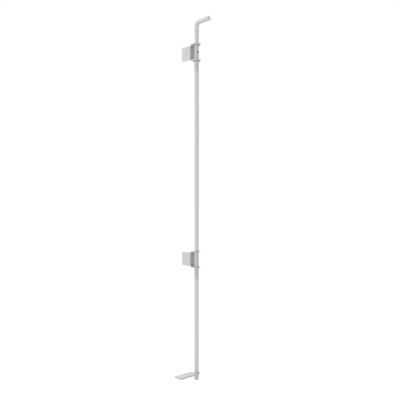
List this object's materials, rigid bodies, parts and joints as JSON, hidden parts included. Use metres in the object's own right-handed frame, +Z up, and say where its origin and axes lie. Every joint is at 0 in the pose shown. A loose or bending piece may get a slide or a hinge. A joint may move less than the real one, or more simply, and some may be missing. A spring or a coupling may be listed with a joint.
{
  "type": "cane bolt",
  "caption": "Drop rod for a gate: round bar with a bent handle, sliding and turning in slotted brackets, lifted by a foot pedal.",
  "frame": {"origin": "centre of the rod's lower tip, with the rod resting on that tip", "axes": "+Z up along the rod, +X the way the handle points at rest, -Y the way the pedal points at rest; the brackets' flanges run along -X, on the side that the pedal points to"},
  "size_m": [0.115, 0.1035, 1.2192],
  "materials": {
    "rod_zinc": "satin zinc-plated bar",
    "bracket_zinc": "satin zinc-plated pressed sheet",
    "pedal_zinc": "satin zinc-plated flat bar with worn ridges",
    "bush_nylon": "matte grey nylon",
    "screw_steel": "darkened steel"
  },
  "bodies": {
    "brackets": {"upper_bracket": "bracket_zinc", "lower_bracket": "bracket_zinc"},
    "guide_bushes": {"upper_bracket_top_bush": "bush_nylon", "upper_bracket_bottom_bush": "bush_nylon", "lower_bracket_top_bush": "bush_nylon", "lower_bracket_bottom_bush": "bush_nylon"},
    "drop_rod": {"cane_rod": "rod_zinc", "foot_pedal": "pedal_zinc", "pedal_screw": "screw_steel", "pedal_lock_washer": "screw_steel"}
  },
  "joints": [
    {"name": "rod_turn", "type": "hinge", "parent": "brackets", "child": "guide_bushes", "pos_m": [0, 0, 0.75775], "axis": [0, 0, 1], "continuous": true},
    {"name": "rod_slide", "type": "slide", "parent": "guide_bushes", "child": "drop_rod", "axis": [0, 0, 1], "range_m": [-0.0575, 0.348]}
  ]
}
